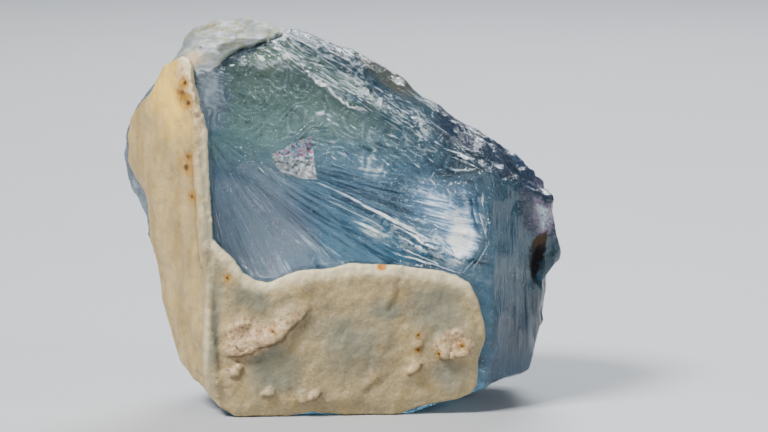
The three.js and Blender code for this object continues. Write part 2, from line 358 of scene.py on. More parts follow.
# Steps in the break: the line, its rise, the width over which it fades below, and how white it is painted, as
# frost and glint along the step.
STEPS = [
    (LONG_STEP, 0.7, 2.4, 1.6), (LEDGE, 0.5, 1.2, 0.95),
    ([(3.3, 29.1), (5.5, 28), (7.6, 26.9)], 0.25, 0.5, 0.9),
    ([(6.2, 26.6), (8.3, 25.6), (11.1, 24.1), (14, 22.7)], 0.35, 0.7, 0.8),
    ([(3.2, 27.2), (6.4, 25.3)], 0.4, 0.7, 0.7), ([(3.2, 26.4), (5.6, 25)], 0.35, 0.6, 0.6),
    ([(-0.4, 26.8), (1.7, 25.8)], 0.25, 0.8, 0.5), ([(7.7, 26.8), (11.1, 25.4)], 0.3, 0.6, 0.7),
    ([(-6.4, 29.6), (-3.6, 28.4)], 0.2, 0.9, 0.2), ([(-5.4, 31.8), (-3.7, 31.2)], 0.2, 0.5, 0.2),
    ([(4.3, 35.8), (8.7, 34)], 0.3, 1.1, 0.5), ([(6.1, 39.4), (8.4, 38.5)], 0.35, 0.7, 0.5),
    ([(6.6, 22.7), (11.1, 21.4), (16.1, 19.9), (18.2, 19.5)], 0.4, 0.9, 0.8),
    ([(8.3, 24.5), (12.5, 22.7)], 0.35, 0.8, 0.7), ([(7.6, 23.5), (11.1, 22), (14.7, 20.7)], 0.3, 0.7, 0.7),
    ([(11.1, 24), (14, 23)], 0.3, 0.6, 0.6), ([(4.3, 24.1), (7.2, 22.7)], 0.25, 0.7, 0.5),
    ([(1.2, 24.7), (3.5, 23.7)], 0.2, 0.7, 0.4), ([(1.5, 23.9), (6.2, 22)], 0.25, 0.9, 0.2),
    ([(-3, 25.4), (0.6, 23.9)], 0.2, 0.9, 0.1), ([(15.4, 36.9), (18.2, 36.2), (19.6, 35.4)], 0.4, 0.5, 0.8),
    ([(15.6, 36.3), (19.3, 35.1)], 0.3, 0.4, 0.9),
    ([(14.5, 37.5), (16.5, 37), (18.5, 35.9)], 0.4, 0.5, 0.7),
    ([(14, 35.2), (16.1, 34.3), (18.2, 34.5), (19.9, 35.1)], 0.3, 0.6, 0.7),
    ([(13.1, 38.5), (14.5, 37.7)], 0.3, 0.5, 0.6), ([(11.6, 36.7), (13.1, 35.2)], 0.3, 0.8, 0.6),
    ([(10.4, 35.2), (11.4, 34.1)], 0.3, 0.8, 0.6), ([(7.7, 32), (8.9, 31.2)], 0.2, 0.5, 0.5),
    ([(8.6, 41.4), (10.9, 41.6)], 0.25, 0.4, 0.5), ([(8.7, 40.9), (10.9, 41)], 0.25, 0.4, 0.5),
    ([(8.9, 40.3), (10.9, 40.4)], 0.25, 0.4, 0.5)]
# Sharp ridges: the line, its rise, its half width, and how white it is painted, as frost and glint along the
# ridge.
RIDGES = [
    ([(-17.3, 49.4), (-16.2, 48.8)], 0.3, 0.13, 0.68), ([(-15.9, 49.4), (-14.8, 49.6)], 0.3, 0.13, 0.68),
    ([(-14.3, 50.1), (-13.7, 50.4), (-13.2, 50.4)], 0.3, 0.13, 0.68),
    ([(-12.1, 50.5), (-11.3, 50.2), (-10.5, 49.8)], 0.4, 0.14, 0.85),
    ([(-11.2, 51.3), (-9.4, 50.8)], 0.3, 0.13, 0.51), ([(-10.4, 51.7), (-8, 51)], 0.3, 0.13, 0.51),
    ([(-8, 51), (-7.5, 50.3), (-7, 49.7)], 0.4, 0.13, 0.77), ([(-10.1, 50), (-8.9, 49.5)], 0.2, 0.13, 0.42),
    ([(-9.8, 50.6), (-8.1, 50.2)], 0.2, 0.13, 0.51), ([(-6.1, 49.3), (-5.3, 48.8)], 0.4, 0.16, 1),
    ([(-5, 48.4), (-4.3, 47.6)], 0.4, 0.16, 1), ([(-3.9, 47.3), (-3, 46.7), (-1.9, 46.3)], 0.5, 0.18, 1.1),
    ([(-1.6, 45.9), (-1.1, 45.3), (-0.5, 44.6)], 0.4, 0.16, 0.9),
    ([(-0.1, 44.6), (0.2, 44), (0.8, 43.8), (1.3, 43.1)], 0.5, 0.18, 1.1),
    ([(1.8, 43.4), (2.8, 43), (4, 42.5)], 0.4, 0.14, 1), ([(-6.4, 52.4), (-3.3, 50.8)], 0.3, 0.16, 0.85),
    ([(-5.9, 51.1), (-3.6, 50.1)], 0.2, 0.1, 0.51), ([(-5.9, 50.4), (-2.8, 49.1)], 0.2, 0.1, 0.51),
    ([(-5.5, 49.7), (-1.5, 48.2)], 0.2, 0.1, 0.59), ([(-5.6, 49), (-3.1, 48)], 0.2, 0.1, 0.42),
    ([(-4.2, 49.7), (-1.9, 48.9)], 0.2, 0.1, 0.42), ([(-2.8, 51.4), (-0.1, 49.8)], 0.3, 0.16, 0.68),
    ([(-0.1, 49.8), (1.2, 49.1)], 0.3, 0.16, 0.85),
    ([(1.2, 49), (2, 48), (2.9, 46.9), (3.7, 45.9), (4.7, 45)], 0.25, 0.16, 0.34),
    (LOBE_RIM, 0.4, 0.16, 0.32), ([(19, 32.8), (19.6, 30.9)], 0.2, 0.16, 0.5),
    ([(20, 31.6), (20.5, 28)], 0.2, 0.13, 0.59), ([(20.8, 27), (20.7, 25.2)], 0.2, 0.13, 0.5),
    ([(19.4, 28.4), (19.9, 27), (20.2, 25.6)], 0.2, 0.1, 0.51),
    ([(5.4, 43.9), (5.6, 43.1)], 0.3, 0.16, 0.85), ([(6.6, 44.2), (7.2, 43.8)], 0.3, 0.16, 0.85)]
# Grooves: the line, its depth, its half width, and how dark it is painted, as shade in the groove.
GROOVES = [
    (CREASE, 0.6, 0.2, 1), ([(18.2, 30.6), (18.6, 27.9), (19.6, 24.7)], 0.5, 0.2, 0.9),
    ([(19, 30.8), (19.4, 28), (20, 25.6)], 0.4, 0.2, 0.6),
    ([(-7.9, 46), (-8, 43.5), (-7.6, 41)], 0.2, 0.3, 0.4),
    ([(-7.2, 45), (-7, 42), (-7.4, 39.6)], 0.2, 0.3, 0.4), ([(-8.6, 45.6), (-8.8, 43)], 0.2, 0.3, 0.3),
    ([(15.1, 40.1), (16.6, 38.3), (20.2, 35.2)], 0.4, 0.25, 0.8),
    ([(14.4, 24.6), (15.6, 23.2), (16.4, 21.6)], 0.3, 0.2, 0.5)]
# Thin streaks painted bright, as frost and glint, that follow no step, and how white each is.
STREAKS = [
    ([(-4.2, 32.6), (-1.7, 31.4), (0.5, 30.5), (3.3, 29)], 1), ([(-7.5, 47), (-5.5, 45.9)], 0.6),
    ([(-2.2, 41.5), (-1.5, 41)], 0.8), ([(-3.3, 42.3), (-2.4, 41.9)], 0.6),
    ([(0.4, 47.6), (2.6, 46.5)], 0.4), ([(2, 30.4), (3.4, 29.7)], 0.4), ([(-14.6, 43.4), (-13.6, 43)], 0.5),
    ([(-9.8, 44.4), (-9, 44.1)], 0.5), ([(8.6, 30), (9.8, 29.4)], 0.5), ([(12.4, 33), (13.6, 31.8)], 0.6),
    ([(10.6, 31.6), (12.2, 30.4)], 0.6), ([(4.5, 24.4), (7.4, 23)], 0.4),
    ([(10.8, 22.6), (13.8, 21.2)], 0.5), ([(-7.4, 28), (-5.6, 27)], 0.2),
    ([(-1.6, 28.4), (0.4, 27.4)], 0.3), ([(14.4, 31.6), (16.2, 30.6)], 0.6),
    ([(15.6, 22.4), (17.6, 21)], 0.5), ([(4.2, 36.4), (5, 36.9)], 0.6), ([(-4.5, 43.6), (-3.9, 43.3)], 0.6)]
CHIP_FACE = [(-9.9, 36.8), (-7.2, 37.8), (-4.4, 39), (-4.1, 37), (-4, 35.3), (-9.4, 35.9)]
CHIP_FOOT = [(-10.1, 36.6), (-9.4, 36.6), (-4, 36), (-3.3, 32.5), (-5.4, 32.6), (-8.6, 33.6), (-9.6, 34.9)]

# Outlines of the crystal's kinds of surface.
CAP_EDGE = [(-24, 47.6), *CREASE, (-6, 54.6)]
SHOULDER = [(-7, 51.6), (-3.5, 49.6), (0, 47.2), (3, 44.6), (7, 42.8), (11, 41)]
BROKEN_LEDGE = [(-17.3, 49.2), (-14, 50), (-10, 50.3), (-7.5, 50.2)]
UPPER_SCAR = [(6.6, 41.5), (11.2, 43), (16.1, 38.1), (14.8, 35.1), (11.1, 33.8), (8, 36.4)]
LOWER_SCAR = [(2.6, 25.3), (4.6, 28.6), (11.9, 27.7), (15.4, 24.8), (18.4, 21), (16.1, 19.4), (7.6, 22)]
BULGE = [(24.6, 32), (28.6, 31.4), (32, 28.6), (33, 25.9), (32, 22.6), (28.2, 22.6), (25.7, 25)]
TIP = [(26.2, 31.6), (28.2, 30.2), (31, 28.2), (32, 25.9), (31, 23), (28.2, 23), (26.6, 25.8)]
POCKET_MOUTH = [
    (26.5, 22), (27.4, 23.9), (30, 24.4), (30, 21.1), (29, 18.1), (27.8, 15.6), (26.9, 16), (26.5, 20)]
POCKET_FLOOR = [(24.5, 16), (24.5, 22.5), (28, 22.5), (28, 16)]
MEAN_LIGHT = 0.4  # how light the stone is elsewhere, from 0 to 1
# Lighter or darker places of the break: by how much, the middle, half sizes and turn. The first five are
# painted glow, standing for light reflected inside the crystal.
GLOWS = [
    (0.5, (17, 25), (3, 4.6), 12), (0.4, (17.3, 23.8), (2, 2.4), 0), (0.34, (12.4, 29.8), (3.6, 3.6), 30),
    (0.38, (4.6, 34.2), (2.4, 1.9), 28), (0.4, (3.7, 25.4), (2.6, 1.4), 28),
    (0.3, (-2.8, 42.1), (1.4, 0.8), 28), (0.14, (-6, 43), (16, 10), 25), (0.12, (-12, 27), (10, 9), 35),
    (-0.16, (1.6, 31.6), (8, 2.4), 27), (-0.14, (8, 29), (4, 2.6), 30), (-0.16, (-3, 27), (9, 2.4), 27),
    (-0.1, (14.6, 33.4), (3, 2.4), 30)]
# The break lies between these, and its upper edge falls to the right.
BREAK_LEFT, BREAK_RIGHT, BREAK_FOOT, BREAK_BACK = -19.5, 21.6, 17, 14
BROW_HEIGHT, BROW_CORNER, BROW_FALL = 53, -8, 0.62
END_FALL = 0.64  # how steeply the edge of the crushed right end falls
SPLINTERS = 90  # short steps scattered over the break
SPLINTER_LEFT, SPLINTER_RIGHT = -17, 19.5


def brow(x):
    """The height of the break's upper edge."""
    return BROW_HEIGHT - BROW_FALL * np.clip(x - BROW_CORNER, 0, None)


def in_break(points, normals):
    """1 on the broken hollow of the front face."""
    x, y, z = points.T
    within = (x > BREAK_LEFT) & (x < BREAK_RIGHT) & (y < BREAK_BACK) & (z > BREAK_FOOT) & (z < brow(x))
    return ramp(behind_front(points), 1.7, 2.6) * within * (normals[:, 1] < 0.2)


def flow(points):
    """The turn and the reach of each point on the break's flow lines."""
    across, down = points[:, 0] - FLOW_SOURCE[0], FLOW_SOURCE[1] - points[:, 2]
    reach = np.hypot(across, down)
    return np.arctan2(down, across) + FLOW_BEND * reach, reach


def splinter_lines():
    """Short lines along the flow, scattered over the break by a seeded draw."""
    draw = np.random.default_rng(12)
    lines = []
    while len(lines) < SPLINTERS:
        x, z = draw.uniform(SPLINTER_LEFT, SPLINTER_RIGHT), draw.uniform(20, 47)
        length, wander = draw.uniform(0.6, 2.6), draw.normal(0, 6)
        share = (x - SPLINTER_LEFT) / (SPLINTER_RIGHT - SPLINTER_LEFT)
        if z > brow(x) - 5 or draw.random() > 0.35 + 0.65 * share:
            continue
        fall = math.radians(44 - 18 * share + wander)
        half = Vector((math.cos(fall), -math.sin(fall))) * length / 2
        lines.append([(x - half.x, z - half.y), (x + half.x, z + half.y)])
    return lines


SPLINTER_LINES = splinter_lines()


def just_below(above, edge, fall):
    """1 right under a line, fading out over fall mm."""
    return ramp(-above, -edge, edge) * (1 - ramp(-above, 0.1, fall))


def break_relief(points, hollow):
    """Heights of the steps, ridges, grooves and splinters."""
    ragged = shaken(points, 0.2, 1.1)
    heights = np.zeros(len(points))
    for line, rise, fall, _ in STEPS:
        above, share = beside(ragged, line)
        heights += rise * tapered(share) * just_below(above, 0.09, fall)
    for line, rise, half, _ in RIDGES:
        above, share = beside(ragged, line)
        heights += rise * tapered(share, 0.1) * swell(above, half)
    for line, depth, half, _ in GROOVES:
        above, share = beside(ragged, line)
        heights -= depth * tapered(share) * swell(above, half)
    draw = np.random.default_rng(30)
    for line in SPLINTER_LINES:
        above, share = beside(points, line)
        part = tapered(share, 0.4) * hollow
        heights += draw.uniform(0.06, 0.2) * part * just_below(above, 0.08, 0.7)
    return heights


def chip_relief(points, hollow):
    """Heights of the three-cornered chip, and where its face and its foot lie."""
    crumple = ripple(points[:, 0] / 0.5, points[:, 2] / 0.4, 6)
    ragged = shaken(points, 0.3, 0.5)
    face = inside(ragged, CHIP_FACE, 0.2) * hollow
    foot = inside(ragged, CHIP_FOOT, 0.2) * hollow
    slope = ramp(points[:, 0], -10, -4)
    heights = -face * (0.2 + 0.3 * slope) + foot * (0.4 - 0.3 * slope) + (face + foot) * 0.4 * crumple
    return heights, face, foot


def flake_relief(points, hollow, bare, right_face):
    """Heights of the flake scars, and of the flow lines in the break."""
    x, y, z = points.T
    end = ramp(x, 13, 22) * ramp(z + END_FALL * x, 45, 49) * bare
    shoulder = ramp(z + 0.66 * x, 43, 46) * (y < 22) * (x > -9) * (x < 14) * bare
    cap = ramp(z, 48, 51) * (x < -6) * bare
    plain = bare * (1 - 0.85 * right_face)
    turn, reach = flow(points)
    flowing = hollow * ramp(turn, 0.25, 0.5)
    calm = hollow * (1 - ramp(turn, 0.25, 0.5))

    heights = bare * right_face * 0.1 * ripple(x / 0.9 + y / 0.9, z / 14, 9)
    for where, height, size, seed, tilt in [
            (plain, 0.8, 6, 1, 0), (plain, 0.22, 2.2, 2, 0), (end, 0.8, (3.6, 2.4, 1.6), 3, 38),
            (end, 0.3, (1.6, 1.2, 0.9), 4, 38), (shoulder, 0.45, (5, 2, 1.3), 5, 30),
            (cap, 0.3, (3, 2, 1), 6, -15), (calm, 0.5, (6, 4, 3), 7, 25),
            (calm, 0.12, (1.8, 1.4, 0.9), 8, 25)]:
        heights += where * height * scallops(points, size, seed, tilt)
    for height, width, length, seed in [(0.5, 2.2, 16, 1), (0.22, 0.7, 9, 2), (0.1, 0.35, 6, 4)]:
        heights += flowing * height * ripple(turn * FLOW_SPAN / width, reach / length, seed)
    return heights


def on_front(points, normals):
    return (normals[:, 1] < 0.35) & (points[:, 1] < 20)


def refine_lines(crystal):
    """Splits the faces on the chip and near the break's fine lines."""
    lines = [line for line, *_ in STEPS + RIDGES + GROOVES + STREAKS] + SPLINTER_LINES
    for near, smallest in ((0.6, 0.11), (0.35, 0.02)):
        spots, facing = surface(crystal, "polygons")
        sizes = read(crystal.data.polygons, "area", 1)[:, 0] / MM ** 2
        chosen = np.minimum.reduce([np.abs(beside(spots, line)[0]) for line in lines]) < near
        chosen |= inside(spots, CHIP_FACE, 0.1) + inside(spots, CHIP_FOOT, 0.1) > 0
        split_finer(crystal, chosen & on_front(spots, facing) & (sizes > smallest))


def drawn(points, lines, narrow, wide):
    """How strongly fine lines mark each point. A strong one is wide mm to each side."""
    ragged = shaken(points, 0.14, 0.5)
    most = np.zeros(len(points))
    for line, strength in lines:
        above, share = beside(ragged, line)
        half = narrow + (wide - narrow) * strength * tapered(share, 0.5)
        on_line = 1 - ramp(np.abs(above), half * 0.6, half + 0.06)
        most = np.maximum(most, strength * tapered(share, 0.15) * on_line)
    return most


def areas(points, normals, hollow):
    """The crystal's kinds of surface, each as a number for each point."""
    x, y, z = points.T
    front = (normals[:, 1] < 0.3) & (y < 22)
    above_crease, above_foot = beside(points, CAP_EDGE)[0], beside(points, CREASE_FOOT)[0]
    cap = ramp(above_crease, -0.2, 0.4) * (x < -5) * ramp(z, 46, 50) * (1 - ramp(y, 12, 24))
    # The band just under the crease, painted darker as shade.
    crease_shade = ramp(-above_crease, -0.1, 0.1) * ramp(above_foot, -0.3, 0) * (x > -17.6) * (x < -7.8) * front
    haze = glow(points, (-18.4, 46), (2.6, 6), -8) * (y < 14)
    left = ramp(-x, 26, 28.5)

    # The crushed right end, and the bulge over the pocket with its bright tip.
    bulge, tip = inside(points, BULGE, 0.9) * (y > 12), inside(points, TIP, 2) * (y > 12)
    end = np.maximum(ramp(x, 12, 16) * ramp(z + END_FALL * x, 46.4, 49) * (1 - hollow), bulge)
    end *= 1 - 0.8 * ramp(y, 20, 28)
    right = ramp(x + 0.4 * y, 22.6, 24.4) * (z < 36) * (1 - end)
    mouth, floor = inside(points, POCKET_MOUTH, 0.8), inside(points, POCKET_FLOOR, 0.8)
    pocket = np.maximum((y > 13) * mouth, (y > 16.6) * floor) * (y < 22.5)

    # Places that are broken into flakes.
    beyond, _ = beside(points, OUTER_RIM)
    outer = ramp(beyond, 0.4, 1.4) * (x > -3) * (1 - ramp(x, 9, 12)) * front
    inner = 1 - 0.85 * outer
    shoulder = band(points, SHOULDER, 1.4, 2.6) * front * inner
    upper, lower = inside(points, UPPER_SCAR, 3), inside(points, LOWER_SCAR, 2)
    lobe = spot(points, (17.4, 27.6), (3.4, 5.6), 8, 0.5, 1.2) * (0.35 + 0.65 * ramp(z, 26, 31))
    ledge, rim = band(points, BROKEN_LEDGE, 0.6, 1.8), band(points, OUTER_RIM, 0.6, 1.5) * inner
    patch = glow(points, (9.6, 32.4), (4, 2), 25)
    flaked = [0.35 * shoulder, 0.8 * upper, 0.9 * lower, 0.7 * ledge, rim, 0.8 * lobe, 0.7 * patch]
    crushed = np.maximum.reduce([np.maximum.reduce(flaked) * front, 0.55 * end, 0.85 * tip])

    light = MEAN_LIGHT + 0.16 * hollow * ripple(x / 5, z / 4, 61)
    # Painted glow where light is reflected inside the crystal, and darker places.
    light += hollow * sum(amount * glow(points, *place) for amount, *place in GLOWS)
    # Lighter on the haze, shoulder, scars and cap; darker under the crease, as painted shade.
    light += 0.36 * haze + 0.1 * shoulder + 0.04 * upper + 0.1 * lower + 0.28 * cap - 0.14 * crease_shade
    light += 0.85 * tip - 0.5 * end
    # The right face: a small lighter spot, and painted shade that darkens it towards its foot.
    light += right * (0.2 * glow(points, (22, 20.6), (1.6, 2)) - 0.3 * (1 - ramp(z, 10, 20)))
    light += (MEAN_LIGHT - light) * ramp(y, 18, 27)
    light += 0.16 * left
    # The sky-blue halo of the painted glow about the lobe.
    halo_glow = np.maximum(glow(points, (12.6, 29.4), (4, 4), 30), glow(points, (16, 27), (5, 7), 12)) * hollow
    return dict(
        light=light, crushed=crushed, cap=cap, crease_shade=crease_shade, end=end, right=right, haze=haze,
        shoulder=shoulder, pocket=pocket, halo_glow=halo_glow,
        teal=glow(points, (-8, 44), (19, 13), 25) * hollow * (1 - haze),
        violet=np.maximum.reduce([glow(points, (-12, 27), (11, 10), 35) * hollow, haze, 0.4 * left]),
        deep=glow(points, (5, 29), (18, 9), 29) * hollow,
        crest=outer * ramp(beyond, 0.8, 2),
        smear=glow(points, (-20.4, 50.6), (1.8, 1.2)) * (y < 9),
        pearl=bulge * ramp(x - 0.3 * (z - 27), 26.2, 27.6))


def make_crystal():
    crystal = copy_of("topaz_crystal", "crystal")
    remesh(crystal, CRYSTAL_VOXEL)
    spots, _ = surface(crystal, "polygons")
    x, _, z = spots.T
    under_crust = (behind_front(spots) < 1.75) & (x < 19.5) & (z < 21) | (behind_left(spots) < 3)
    thin_out(crystal, under_crust, 0.06)
    spots, _ = surface(crystal, "polygons")
    thin_out(crystal, (spots[:, 1] > 27) | (spots[:, 2] < 0.3), 0.4)
    split_finer(crystal, in_break(*surface(crystal, "polygons")) > 0.1)

    points, normals = surface(crystal)
    x, y, z = points.T
    hollow = in_break(points, normals)
    facing_crust = (behind_front(points) < 1.75) & (x < 19.6) & (z < 21.4) | (behind_left(points) < 3.4)
    bare = (1 - hollow) * ramp(z, *BASE_FADE) * ~facing_crust
    right_face = ramp(x, 19, 21) * (z < 33) * (y < 20)
    sculpt(crystal, flake_relief(points, hollow, bare, right_face))
    raise_by(crystal, 0.12, bare * (1 - right_face), FINE_CLOUDS, size=(0.9,) * 3)

    refine_lines(crystal)
    points, normals = surface(crystal)
    hollow = in_break(points, normals)
    front = on_front(points, normals) * ramp(points[:, 2], *BASE_FADE) * ramp(behind_front(points), 1.4, 1.8)
    chip, chip_face, chip_foot = chip_relief(points, hollow)
    sculpt(crystal, (break_relief(points, hollow) + chip) * front)
    frost_and_glint_lines = [(line, white) for line, *_, white in STEPS + RIDGES + STREAKS]
    frost_and_glint_lines += zip(SPLINTER_LINES, np.random.default_rng(31).uniform(0, 0.6, SPLINTERS))
    groove_shade_lines = [(line, dark) for line, *_, dark in GROOVES]
    # The white lines are painted frost and glint, the grooves painted shade.
    paint(
        crystal, chip_face=chip_face, chip_foot=chip_foot,
        streaks=drawn(points, frost_and_glint_lines, 0.01, 0.12) * front,
        grooves=drawn(points, groove_shade_lines, 0.03, 0.13) * front, **areas(points, normals, hollow))
    shade_smooth(crystal)
    return crystal


# ---- The crust's shape ----
# Rough patches: middle, half sizes and turn.
PATCHES = [
    ((-13.4, 11.4), (3.4, 3), 10), ((-9.6, 12.4), (3, 1.5), -25), ((-6, 15), (2.4, 1), -40),
    ((-14.8, 7.4), (1.2, 1.8), 30), ((16, 10.4), (2.9, 2.3), 0), ((10.4, 7), (1.6, 1), -50),
    ((11, 10.6), (0.9, 1.2), 0), ((-10.3, 3.6), (1.2, 0.7), -20), ((-4.3, 3.1), (1.8, 0.9), -30),
    ((-21.9, 47), (1.3, 3), -14), ((-20, 42.4), (1, 3.4), -14)]
# Lower lip lines of the patches, each with a painted shadow just under it: the line, its rise, and the width
# over which it fades above.
LIPS = [
    ([(-16.6, 8.6), (-14, 9), (-11.4, 10), (-8.4, 11), (-7.4, 12.6), (-5.6, 14.2), (-4, 15.6)], 0.8, 3.2),
    ([(-15.8, 6.2), (-14.4, 6), (-13.8, 7.4)], 0.5, 1.4),
    ([(13.6, 8.4), (15.2, 8), (17.4, 8.4), (18.3, 9.2)], 0.8, 2.2),
    ([(9.2, 5.8), (10.8, 6.3), (11.4, 7.4)], 0.6, 1.2), ([(10.2, 9.6), (11.6, 9.9)], 0.4, 1),
    ([(-11.4, 3), (-9.2, 3.3)], 0.4, 0.9), ([(-6, 2), (-3.2, 2.9), (-2.8, 4)], 0.5, 1.2),
    ([(3.4, 3.4), (4.4, 4.8), (5.4, 5.4)], 0.16, 1.6), ([(6.4, 15), (7.6, 17), (8, 18.4)], 0.2, 1.8)]
# The rim, from its foot on the right round to the top.
CRUST_RIM = [
    (19.2, 4.1), (19.4, 7.8), (20.4, 10.6), (20.1, 13.4), (19.3, 16.4), (18.2, 18.5), (16.2, 19.7),
    (13.9, 20.4), (9.7, 21), (5.5, 21.4), (1.2, 21.6), (-1.6, 20.9), (-5.8, 20.7), (-7.8, 20), (-10, 19),
    (-12, 19.3), (-13.8, 20.5), (-14.9, 22.2), (-16.7, 23.9), (-18, 25.3), (-18.2, 28), (-18.5, 33.8),
    (-18.7, 40.6), (-19.3, 42.9), (-20.2, 45), (-20.8, 47.1), (-21, 49.2), (-21.6, 50.3)]
RIM_WIDTH = 1.5
PALE_WIDTH = 2.4  # over which the crust pales towards it


def depths_in_crust(points):
    """How deep each point lies in the crust on the front and on the left."""
    return behind_front(points) * -FRONT_OUT.y, behind_left(points) * -LEFT_OUT.y


def bed_crust(crust):
    """Lets the crust into the crystal, so that no gap shows."""
    under_front, under_left = depths_in_crust(surface(crust)[0])
    inner = np.abs(np.minimum(under_front, under_left) - CRUST_THICKNESS) < 0.05
    front_side = under_front <= under_left
    for side, out in [(front_side, FRONT_OUT), (~front_side, LEFT_OUT)]:
        change(crust, inner & side, bpy.ops.transform.translate, "vertices", value=-out * BOND * MM)


def make_crust():
    crust = copy_of("crust", "crust_skin")
    bed_crust(crust)
    remesh(crust, CRUST_VOXEL)
    points, _ = surface(crust)
    x, y, z = points.T
    depth = np.minimum(*depths_in_crust(points))
    outer = 1 - ramp(depth, 0.5, 1.1)
    from_edge = x - edge_x(z)
    left_side = ramp(-from_edge, 0, 2)
    off_rim = np.abs(beside(points, CRUST_RIM)[0])
    rim = 1 - ramp(off_rim, 0, RIM_WIDTH)

    raise_by(crust, 0.8, outer, CLOUDS, size=(3.8,) * 3)
    raise_by(crust, 0.55, outer * left_side, CLOUDS, place=(1, 0, 5), size=(3.4, 3.4, 9))
    raise_by(crust, 0.28, outer * (1 - 0.5 * left_side), FINE_CLOUDS, size=(1.5,) * 3)
    # The upright edge is a ridge, with a channel to its right and a groove to its left.
    ridge = swell(from_edge + 0.1, 0.6) * ramp(z, 2, 5) * (1 - ramp(z, 38, 44))
    channel = swell(from_edge - 0.8, 0.6) * ramp(z, 3, 6) * (1 - ramp(z, 18, 25))
    groove = swell(from_edge + 0.9, 0.25) * ramp(z, 18, 22) * (1 - ramp(z, 36, 40))
    lip = rim * (1 - ramp(depth, 0.3, 0.9)) * (1 - ramp(z, 42, 46))
    sculpt(crust, outer * (0.45 * ridge - 0.1 * channel - 0.35 * groove + 0.14 * lip))
    raise_by(crust, 0.4, rim * ramp(z, 14, 20), FINE_CLOUDS, place=(4, 1, 1), size=(0.7,) * 3)

    frayed = points + 1.6 * np.column_stack([ripple(x / 1.1, z / 1.1, 8), 0 * y, ripple(x / 0.9, z / 0.9, 9)])
    patches = outer * np.maximum.reduce([
        min(1, 0.35 + 0.1 * half[0] * half[1]) * spot(frayed, middle, half, turn)
        for middle, half, turn in PATCHES])
    raise_by(crust, 0.9, patches, FINE_CLOUDS, place=(2, 2, 2), size=(0.8,) * 3, middle=0.42)
    ragged = shaken(points, 0.6, 0.9, 7)
    # Painted shadow: in the groove left of the upright edge, and just under each patch's lower lip.
    heights, shadow = np.zeros(len(points)), 0.6 * groove
    for line, rise, fall in LIPS:
        over, share = beside(ragged, line)
        heights += rise * tapered(share) * ramp(over, -0.1, 0.12) * (1 - ramp(over, 0.3, fall))
        darkest = min(1, rise / 0.7)
        shadow = np.maximum(shadow, darkest * tapered(share) * swell(over + 0.08, 0.26))
    sculpt(crust, heights * outer)
    # The crust is painted paler towards its rim: partly its own paler colour, partly a painted highlight
    # where the top edge catches light.
    low_right = ramp(x, 17, 19) * (1 - ramp(z, 17.5, 19.5))
    pale_and_highlit = (1 - ramp(off_rim, 0, PALE_WIDTH)) * (1 - 0.85 * low_right)
    paint(crust, lips=shadow * outer, rim=pale_and_highlit, patches=patches)
    shade_smooth(crust)
    return crust


